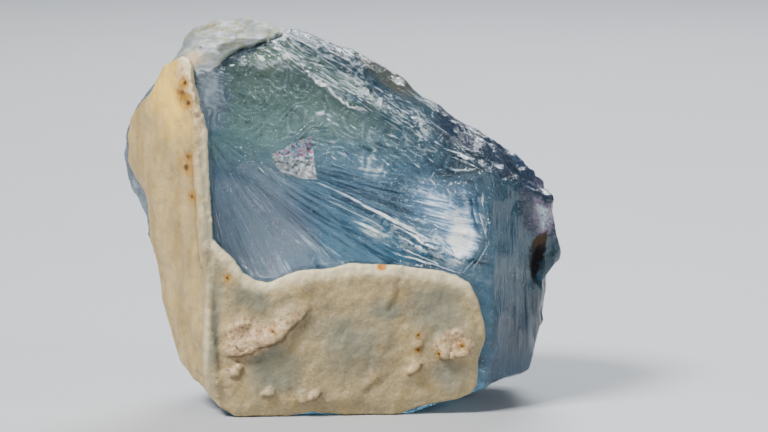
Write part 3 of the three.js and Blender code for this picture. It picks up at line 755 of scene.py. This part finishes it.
# ---- Materials ----
class Finish:
    """A node material that is read in the drawing's mm."""

    def __init__(self, name):
        self.material = bpy.data.materials.new(name)
        self.material.use_nodes = True
        self.tree = self.material.node_tree
        self.tree.nodes.clear()
        coordinates = self.add("TexCoord")["Object"]
        inputs = {"Vector": coordinates, "Scale": (1 / MM,) * 3, "Location": tuple(-DRAWING_ZERO)}
        self.place = self.add("Mapping", inputs)[0]
        self.x, self.y, self.z = self.add("SeparateXYZ", {0: self.place})

    def add(self, kind, inputs=None, **settings):
        """A new shader node's outputs."""
        node = set_up(self.tree.nodes.new("ShaderNode" + kind), settings)
        for key, value in (inputs or {}).items():
            if isinstance(value, bpy.types.NodeSocket):
                self.tree.links.new(value, node.inputs[key])
            else:
                node.inputs[key].default_value = value
        return node.outputs

    def maths(self, operation, *values):
        return self.add("Math", dict(enumerate(values)), operation=operation)[0]

    def times(self, first, second):
        return self.maths("MULTIPLY", first, second)

    def times_plus(self, first, second, third):
        return self.maths("MULTIPLY_ADD", first, second, third)

    def vector(self, operation, *values):
        return self.add("VectorMath", dict(enumerate(values)), operation=operation)

    @cache
    def noise(self, wavelength, detail=3, roughness=0.55, place=None):
        inputs = {"Vector": place or self.place, "Scale": 1 / wavelength}
        inputs |= {"Detail": detail, "Roughness": roughness}
        return self.add("TexNoise", inputs)["Fac"]

    def stretched(self, size, turn=0, shift=(0, 0, 0)):
        """The place in units of size mm, along axes that are turned down to the right."""
        tilt = (0, math.radians(turn), 0)
        inputs = {"Vector": self.place, "Location": shift, "Rotation": tilt, "Scale": size}
        return self.add("Mapping", inputs, vector_type="TEXTURE")[0]

    def step(self, value, start, end):
        inputs = {"Value": value, "From Min": start, "From Max": end}
        return self.add("MapRange", inputs, interpolation_type="SMOOTHSTEP")[0]

    def spot(self, centre, half, turn, inner, outer, ragged, grain):
        """1 inside an ellipsoid with a ragged edge, 0 outside."""
        away = self.vector("LENGTH", self.stretched(half, turn, centre))["Value"]
        wobble = self.times_plus(self.noise(grain), ragged, -ragged / 2)
        return self.step(self.maths("ADD", away, wobble), outer, inner)

    @cache
    def painted(self, name):
        """A number that the piece keeps for each of its vertices."""
        return self.add("Attribute", attribute_name=name)["Fac"]

    @cache
    def area(self, name, ragged=0.5, grain=2):
        """A painted area whose edge is broken up by noise."""
        wobble = self.times_plus(self.noise(grain, 4), ragged * 2, -ragged)
        return self.step(self.maths("ADD", self.painted(name), wobble), 0.1, 0.9)

    def hairs(self, noise, width, level=0.5):
        """1 on the thin lines where a noise crosses a level."""
        away = self.maths("ABSOLUTE", self.maths("SUBTRACT", noise, level))
        return self.step(away, width, width * 0.2)

    def shards(self, size, turn):
        """A random colour for each angular flake of a crushed surface."""
        noise = self.add("TexNoise", {"Vector": self.place, "Scale": 1.2, "Detail": 3})["Color"]
        bent = self.vector("MULTIPLY_ADD", noise, (0.35,) * 3, self.stretched(size, turn))[0]
        return self.add("TexVoronoi", {"Vector": bent, "Scale": 1})["Color"]

    def tilted(self, flakes, share, under):
        """The normal of a surface whose flakes each lean their own way."""
        lean = self.vector("SUBTRACT", flakes, (0.5,) * 3)[0]
        lean = self.add("VectorMath", {0: lean, "Scale": share}, operation="SCALE")[0]
        return self.vector("NORMALIZE", self.vector("ADD", lean, under)[0])[0]

    def parts(self, colours):
        """A colour's three parts as numbers."""
        return self.add("SeparateColor", {0: colours})

    def blend(self, share, first, second):
        """A colour between two."""
        return self.add("Mix", {0: share, 6: first, 7: second}, data_type="RGBA")[2]

    def between(self, share, first, second):
        """A number between two."""
        return self.add("Mix", {0: share, 2: first, 3: second}, data_type="FLOAT")[0]

    def covered(self, under, *layers):
        """A colour under others, each with its own share."""
        for share, over in layers:
            under = self.blend(share, under, over)
        return under

    def changed(self, number, *changes):
        """A number that gives way to others, each with its own share."""
        for share, other in changes:
            number = self.between(share, number, other)
        return number

    def bump(self, height, distance, strength, under=None):
        inputs = {"Height": height, "Distance": distance * MM, "Strength": strength}
        if under:
            inputs["Normal"] = under
        return self.add("Bump", inputs)[0]

    def finish(self, **outputs):
        self.add("OutputMaterial", outputs)
        return self.material


def colour(red, green, blue):
    """A screen's colour, 0 to 255, as the linear values that a shader takes."""
    def linear(value):
        value /= 255
        return value / 12.92 if value <= 0.04045 else ((value + 0.055) / 1.055) ** 2.4
    return (linear(red), linear(green), linear(blue), 1)


BLUE = colour(160, 190, 202)
TEAL = colour(188, 218, 178)
GREY_VIOLET = colour(208, 204, 202)
LILAC = colour(206, 168, 196)
DEEP_BLUE = colour(98, 144, 172)
NIGHT_BLUE = colour(34, 56, 80)
SLATE_BLUE = colour(92, 110, 118)
CAP_GREEN = colour(226, 226, 170)
PALE = colour(186, 210, 222)
WHITE = colour(250, 253, 253)
SKY = colour(146, 192, 234)
DUSK = colour(46, 54, 96)
DIM_BLUE = colour(66, 112, 132)
CLAY = colour(158, 148, 136)
GOLD = colour(206, 182, 120)
BUFF = colour(240, 214, 176)
EARTH = colour(62, 40, 8)
# Near black: painted shade deep in the pocket.
POCKET_SHADE = colour(5, 4, 5)
PINK = colour(252, 130, 186)
CYAN = colour(84, 200, 236)

TOPAZ_IOR = 1.62
TOPAZ_TINT = (0.56, 0.74, 0.8, 1)
TOPAZ_DENSITY = 56  # how strongly the tint takes hold, per metre
FIBRE_REACH = 0.07  # units of noise for each mm along the flow lines


def flow_fibres(mat):
    """The turn of each place on the break's flow lines, and fibres along them."""
    across = mat.maths("SUBTRACT", mat.x, FLOW_SOURCE[0])
    down = mat.maths("SUBTRACT", FLOW_SOURCE[1], mat.z)
    reach = mat.maths("POWER", mat.times_plus(across, across, mat.times(down, down)), 0.5)
    turn = mat.times_plus(reach, FLOW_BEND, mat.maths("ARCTAN2", down, across))
    fan = {0: mat.times(turn, FLOW_SPAN), 1: mat.times(reach, FIBRE_REACH)}
    return turn, mat.noise(0.7, 6, 0.7, mat.add("CombineXYZ", fan)[0])


def topaz_light(mat, turn, fibres, flakes, behind):
    """How light each place of the crystal is, from 0 to 1, with painted glints and groove shade, and the
    texture in it.
    """
    right, crushed, shoulder, cap = map(mat.painted, ("right", "crushed", "shoulder", "cap"))
    grain = mat.noise(1, 6, 0.7, mat.stretched((1.6, 1.2, 0.4), 26))
    swirl = mat.maths("SINE", mat.times(mat.noise(5, 1.4, 0.4), 70))
    curls = mat.times_plus(swirl, 0.08, mat.times_plus(grain, 0.7, 0.14))
    fine = mat.noise(1, 6, 0.7, mat.stretched((3, 1.5, 0.26), 33))
    wisps = mat.noise(1, 5, 0.7, mat.stretched((2, 1.6, 0.4), -14))
    wisps = mat.times_plus(mat.hairs(wisps, 0.03), 0.12, wisps)
    upright = mat.noise(1, 5, 0.6, mat.stretched((0.9, 2, 9)))
    texture = mat.changed(
        curls, (mat.step(turn, 0.25, 0.55), fibres), (behind, mat.noise(2.4, 5, 0.6)), (shoulder, fine),
        (cap, wisps), (right, upright))
    gain = mat.changed(
        1.7, (right, 0.8), (mat.area("deep"), 2.5), (crushed, 1.3), (mat.painted("haze"), 0.5),
        (shoulder, 2.1), (mat.painted("pearl"), 2.4), (behind, 0.8), (cap, 3))
    light = mat.times_plus(mat.maths("SUBTRACT", texture, 0.5), gain, mat.painted("light"))

    # Crushed places: flakes painted lighter or darker one by one, and thin light lines, as painted glints.
    tone = mat.maths("SUBTRACT", mat.parts(flakes)[0], 0.5)
    light = mat.times_plus(tone, mat.times(crushed, 0.36), light)
    lines = mat.maths("MAXIMUM", mat.hairs(grain, 0.024), mat.hairs(grain, 0.018, 0.57))
    lines = mat.times(lines, mat.step(mat.noise(1.8, 4), 0.46, 0.6))
    lines = mat.times(lines, mat.between(crushed, 0, 0.6))
    light = mat.maths("ADD", light, mat.times(lines, mat.between(behind, 1, 0.2)))
    # Painted frost and glint along the white lines, broken up by noise.
    wobble = mat.times_plus(mat.noise(0.7, 3), 1.4, -0.7)
    broken = mat.step(mat.times_plus(mat.painted("streaks"), 1.4, wobble), 0.45, 0.95)
    light = mat.times_plus(broken, 0.55, light)
    # Painted shade along the grooves.
    return mat.times_plus(mat.painted("grooves"), -0.5, light), texture


def chip_colours(mat):
    """The colours of the chip's face, with a painted rainbow sheen and white glints, and of its crumbled
    foot.
    """
    first, second, third = mat.parts(mat.shards((0.3, 0.4, 0.22), 20))
    sheen = mat.covered(
        PINK, (mat.step(second, 0.4, 0.6), CYAN), (mat.step(first, 0.3, 0.5), WHITE),
        (mat.step(third, 0.84, 0.95), SLATE_BLUE))
    crumbs = mat.blend(mat.step(first, 0, 0.45), SLATE_BLUE, mat.blend(third, GREY_VIOLET, WHITE))
    return sheen, crumbs


def topaz_finish():
    mat = Finish("topaz")
    turn, fibres = flow_fibres(mat)
    flakes = mat.shards((0.6, 0.5, 0.28), 26)
    behind = mat.step(mat.y, 14, 20)
    light, texture = topaz_light(mat, turn, fibres, flakes, behind)

    # The parts' colours, then those of the light and the dark. The crease's slate blue and the pocket's black
    # are painted shade, the right face's dim blue is partly painted shade, the sky blue and the whites are
    # partly painted glow and glint, and the chip's rainbow is a painted sheen.
    cap, end, halo_glow = mat.area("cap", 0.15), mat.area("end", 0.3), mat.area("halo_glow", 0.2)
    smear, pocket = mat.area("smear", 0.7, 0.7), mat.area("pocket", 0.9, 0.9)
    chip_face, chip_foot = mat.painted("chip_face"), mat.painted("chip_foot")
    violet = mat.blend(mat.step(fibres, 0.4, 0.62), GREY_VIOLET, LILAC)
    clay = mat.spot((17.2, 14, 38), (4.4, 9, 1.7), 38, 0.2, 1.3, 0.8, 1.2)
    top_edge = mat.times(mat.step(mat.z, 53, 54.6), mat.step(mat.noise(1.6, 4), 0.44, 0.6))
    sheen, crumbs = chip_colours(mat)
    body = mat.covered(
        BLUE, (mat.step(mat.noise(6, 4), 0.35, 0.65), DEEP_BLUE),
        (mat.area("teal"), TEAL), (mat.area("violet"), violet), (mat.area("deep"), DEEP_BLUE),
        (halo_glow, SKY), (mat.painted("right"), DIM_BLUE), (cap, CAP_GREEN), (end, DUSK),
        (mat.times(mat.area("pearl", 0.6, 0.9), 0.4), LILAC), (mat.painted("crease_shade"), SLATE_BLUE),
        (mat.times(clay, 0.7), CLAY), (mat.times(mat.area("crest", 0.5, 1.4), 0.6), GOLD),
        (mat.step(light, 0.42, 0.1), NIGHT_BLUE),
        (mat.step(light, 0.46, 0.8), mat.blend(halo_glow, PALE, SKY)), (mat.step(light, 0.7, 1.02), WHITE),
        (mat.times(top_edge, 0.6), GOLD), (smear, BUFF),
        (chip_foot, crumbs), (chip_face, sheen),
        (pocket, mat.blend(mat.step(mat.z, 21.2, 23), POCKET_SHADE, EARTH)))

    clear = mat.between(mat.step(light, 0.5, 1), 0.86, 0.08)
    rough = mat.between(mat.noise(3, 4), 0.04, 0.16)
    for share, see_through, blur in [
            (cap, 0.6, 0.28), (smear, 0.2, 0.4), (end, 0.35, 0.2), (chip_face, 0.3, 0.2),
            (chip_foot, 0.4, 0.25), (pocket, 0, 0.95)]:
        clear = mat.between(share, clear, see_through)
        rough = mat.between(share, rough, blur)
    rough = mat.maths("MAXIMUM", rough, mat.times(behind, 0.2))
    normal = mat.bump(mat.noise(0.6, 5), 0.08, 0.6, mat.bump(texture, 0.6, 0.9))
    leaning = mat.maths("MAXIMUM", chip_face, chip_foot)
    leaning = mat.maths("MAXIMUM", mat.painted("crushed"), leaning)
    normal = mat.tilted(flakes, mat.times(leaning, 0.75), normal)
    shader = mat.add("BsdfPrincipled", {
        "Base Color": body, "Roughness": rough, "Transmission Weight": clear, "IOR": TOPAZ_IOR,
        "Normal": normal})
    depth = mat.add("VolumeAbsorption", {"Color": TOPAZ_TINT, "Density": TOPAZ_DENSITY})
    return mat.finish(Surface=shader[0], Volume=depth[0])


CREAM = colour(146, 128, 92)
PALE_CREAM = colour(172, 152, 108)
LIGHT_CREAM = colour(244, 230, 188)
STRAW = colour(158, 128, 64)
PEACH = colour(190, 164, 108)
HONEY = colour(252, 206, 92)
SLATE = colour(100, 112, 104)
PINKISH = colour(186, 150, 112)
SHADOW = colour(92, 66, 42)
RUST = colour(72, 40, 0)
AMBER = colour(164, 116, 8)
ORANGE = colour(202, 122, 0)

# Rust specks: middle and half size.
RUST_SPECKS = [
    ((-22.2, 3.5, 45.7), 0.9), ((-21.3, 2.6, 44.4), 0.6), ((-21.8, 3, 47.3), 0.5), ((-22.6, 3, 44.9), 0.4),
    ((-21.5, 2.9, 36.8), 0.5), ((-21.8, 3.6, 35.2), 0.7), ((-21.1, 2.7, 31.1), 0.5),
    ((-16, 0.5, 19.9), 0.35), ((-9.6, 0.6, 12.4), 0.4), ((17, 2.5, 9.9), 0.4), ((10.8, 2.5, 11.5), 0.3),
    ((10.8, 2.3, 9.4), 0.35), ((13.8, 2.5, 8.8), 0.3)]
# Places where the crust is thin and greyer: middle, half size and turn.
THIN_PLACES = [
    ((-17.7, 1, 13), (0.9, 3, 11), 4), ((-19, 1, 27), (0.4, 3, 6), 4), ((-22, 5, 22), (1, 5, 9), 8),
    ((-9.6, 0.6, 7), (4.4, 3, 4.4), 0), ((-12.6, 1, 17), (3.4, 3, 2.2), 20),
    ((6.4, 2, 14.8), (2.6, 3, 2), 0), ((13.6, 2.6, 15), (5, 3, 4.6), 0), ((1, 2.6, 10.5), (6, 3, 5), 10),
    ((15.6, 2.6, 5.6), (3, 3, 2.6), 0)]


def crust_finish():
    mat = Finish("crust")
    fine, crumbs = mat.noise(0.45, 4, 0.7), mat.noise(0.7, 5, 0.65)
    bands = mat.step(mat.noise(1, 4, 0.5, mat.stretched((3, 3, 9), 6)), 0.36, 0.64)
    # On the left face: a honey tint at the top, partly its own colour and partly a painted highlight, and a
    # painted highlight along the upright ridge. Near the rim the crust is paler, partly its own colour and
    # partly a painted highlight.
    warm_and_highlit = mat.spot((-24.5, 6, 44.5), (5, 8, 7), -30, 0.2, 1.3, 0.8, 3)
    upright = mat.spot((-18.6, 1, 17), (0.5, 3, 16), 4, 0.3, 1.4, 0.5, 2)
    pale_and_highlit = mat.maths("MAXIMUM", mat.times(mat.area("rim", 0.5, 1.4), 0.7), mat.times(upright, 0.4))
    # The rough patches: pinkish, with light cream crumbs, painted shade in the crevices between them, and
    # amber specks.
    rubble = mat.covered(
        PINKISH, (mat.step(crumbs, 0.46, 0.7), LIGHT_CREAM), (mat.step(crumbs, 0.44, 0.34), SHADOW),
        (mat.times(mat.step(mat.noise(0.7, 4), 0.58, 0.66), 0.8), AMBER))
    thin = [(mat.times(mat.spot(centre, half, turn, 0.3, 1.3, 0.6, 2.6), 0.6), SLATE)
            for centre, half, turn in THIN_PLACES]
    # Over the cream: tones, greyer thin places, the left face's bands, the honey tint and paler rim with
    # their painted highlights, the rough patches, and the painted shadows under the lip lines and in the
    # groove.
    skin = mat.covered(
        CREAM, (mat.step(mat.noise(5, 4), 0.36, 0.64), PALE_CREAM),
        (mat.times(mat.step(mat.noise(2.6, 5), 0.46, 0.66), 0.4), STRAW),
        (mat.times(mat.step(fine, 0.35, 0.75), 0.2), LIGHT_CREAM), *thin,
        (mat.times(mat.step(mat.x, -18.5, -21), 0.65), mat.blend(bands, STRAW, PEACH)),
        (mat.times(warm_and_highlit, 0.85), HONEY), (pale_and_highlit, LIGHT_CREAM),
        (mat.times(mat.area("patches", 0.5, 1.2), 0.8), rubble),
        (mat.times(mat.painted("lips"), 0.9), SHADOW))
    for centre, half in RUST_SPECKS:
        halo = mat.spot(centre, (half * 2, half * 5, half * 2.2), 0, 0, 1.3, 1.6, 0.9)
        core = mat.spot(centre, (half * 0.8, half * 3, half * 0.8), 0, 0.3, 1.1, 2, 0.45)
        skin = mat.covered(skin, (halo, AMBER), (core, RUST))
    dot = mat.spot((5.7, 2.8, 21.2), (0.85, 1.4, 0.6), 0, 0.6, 1.1, 0.8, 0.4)
    # Small spots painted in the shadow colour, as shade in pits of the crust.
    shaded_pits = mat.step(mat.noise(0.5, 3), 0.32, 0.25)
    skin = mat.covered(skin, (dot, ORANGE), (mat.times(shaded_pits, 0.6), SHADOW))
    normal = mat.bump(fine, 0.12, 0.8, mat.bump(mat.noise(1.4, 5, 0.6), 0.3, 0.9))
    rough = mat.between(mat.noise(1.5, 3), 0.3, 0.55)
    shader = mat.add("BsdfPrincipled", {"Base Color": skin, "Roughness": rough, "Normal": normal})
    return mat.finish(Surface=shader[0])


def floor_finish():
    mat = Finish("pale floor")
    tone = mat.blend(mat.noise(40, 2), colour(176, 178, 182), colour(182, 184, 187))
    shader = mat.add("BsdfPrincipled", {"Base Color": tone, "Roughness": 0.6})
    return mat.finish(Surface=shader[0])


# ---- Stage, light and camera ----
FLOOR_SIZE = 12  # metres
LIT_POINT = (3, 18, 26)  # where the lamps face
# Lamps: name, place and size in metres, power in watts, tint.
LAMPS = [
    ("key light", (-0.4, -0.3, 0.66), 0.24, 14, (1, 0.98, 0.95)),
    ("right light", (0.6, -0.25, 0.3), 0.16, 1.4, (0.94, 0.97, 1)),
    ("back light", (0.1, 0.6, 0.5), 0.3, 6, (0.92, 0.96, 1))]
SKY_LIGHT = {"Color": (0.66, 0.72, 0.8, 1), "Strength": 0.28}
CAMERA_ELEVATION = 8
CAMERA_DISTANCE = 550
CAMERA_TARGET = (6.02, 0, 28.8)
FRAME_WIDTH = 107.5  # how wide the view is at the target
SENSOR = 36
FAR_END = 20  # how far the camera sees, in metres


def make_floor():
    bpy.ops.object.select_all(action="DESELECT")
    bpy.ops.mesh.primitive_plane_add(size=FLOOR_SIZE, location=(0, 0, 0))
    floor = bpy.context.object
    floor.name = "floor"
    floor.data.materials.append(floor_finish())


def light_stage():
    world = bpy.data.worlds.new("studio")
    world.use_nodes = True
    for name, value in SKY_LIGHT.items():
        world.node_tree.nodes["Background"].inputs[name].default_value = value
    bpy.context.scene.world = world
    for name, place, size, power, tint in LAMPS:
        lamp = set_up(bpy.data.lights.new(name, "AREA"), {"size": size, "energy": power, "color": tint})
        holder = new_object(name, lamp)
        holder.location = place
        holder.rotation_euler = (at(*LIT_POINT) - holder.location).to_track_quat("-Z", "Y").to_euler()


def make_camera():
    camera = bpy.data.cameras.new("camera")
    camera.sensor_width = SENSOR
    camera.lens = SENSOR * CAMERA_DISTANCE / FRAME_WIDTH
    camera.clip_end = FAR_END
    holder = new_object("camera", camera)
    angle = math.radians(CAMERA_ELEVATION)
    back = Vector((0, -math.cos(angle), math.sin(angle)))
    holder.location = at(*CAMERA_TARGET) + back * CAMERA_DISTANCE * MM
    holder.rotation_euler = (math.radians(90 - CAMERA_ELEVATION), 0, 0)
    bpy.context.scene.camera = holder


# ---- Putting it together ----
def dress(piece, node, finish):
    piece.data.materials.append(finish)
    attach(piece, "root")
    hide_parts(node)


dress(make_crystal(), "topaz_crystal", topaz_finish())
dress(make_crust(), "crust", crust_finish())
make_floor()
light_stage()
make_camera()
